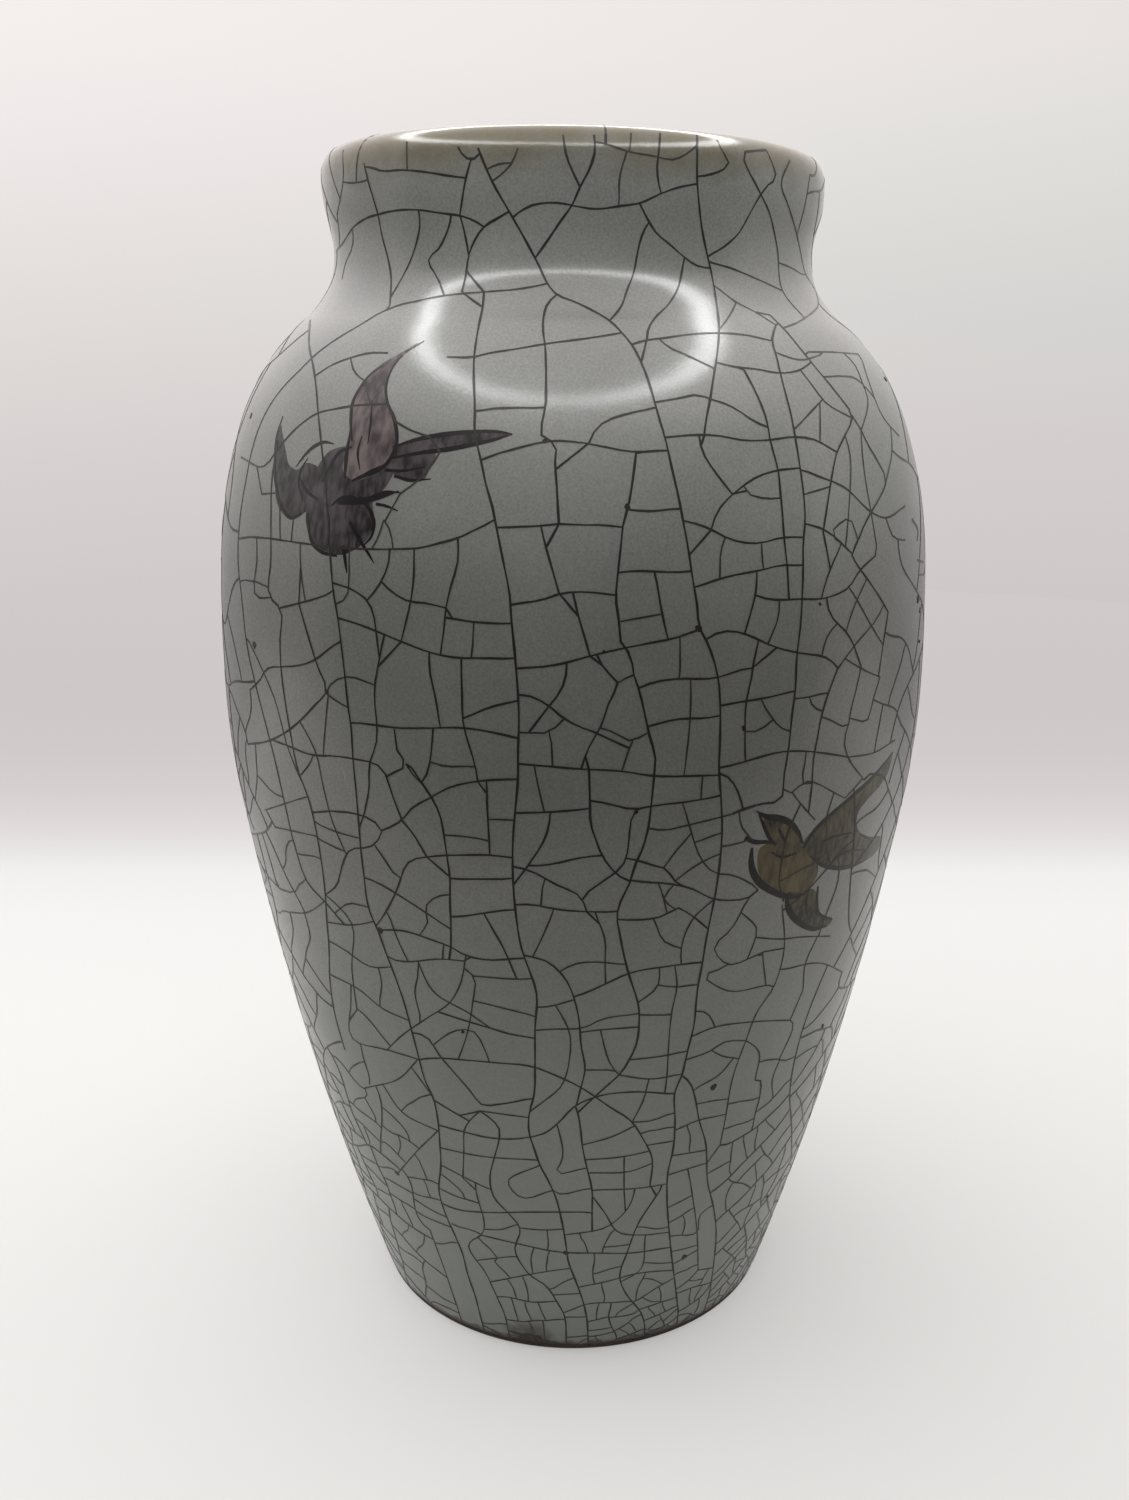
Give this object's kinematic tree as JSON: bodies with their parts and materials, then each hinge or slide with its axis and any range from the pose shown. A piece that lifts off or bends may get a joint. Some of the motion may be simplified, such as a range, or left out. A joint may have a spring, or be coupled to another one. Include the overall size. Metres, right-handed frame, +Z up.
{
  "type": "baluster vase",
  "caption": "Baluster vase in crackle-glazed stoneware with a high rounded shoulder, a short flared neck, a rounded lip and a turned foot ring.",
  "frame": {"origin": "centre of the foot's resting face, on the surface that the vase stands on", "axes": "+Z up along the axis of the vase, -Y towards the painted side that the picture shows, +X to its right"},
  "size_m": [0.1516, 0.1516, 0.25],
  "materials": {
    "stoneware": "matte",
    "joining_slip": "matte",
    "crackle_glaze": "gloss",
    "iron_wash": "matte",
    "dark_enamel": "gloss",
    "ochre_enamel": "gloss"
  },
  "bodies": {
    "root": {"lower_body": "stoneware", "upper_body": "stoneware", "neck": "stoneware", "waist_slip": "joining_slip", "neck_slip": "joining_slip", "outer_glaze": "crackle_glaze", "inner_glaze": "crackle_glaze", "base_glaze": "crackle_glaze", "foot_wash": "iron_wash"}
  },
  "joints": []
}
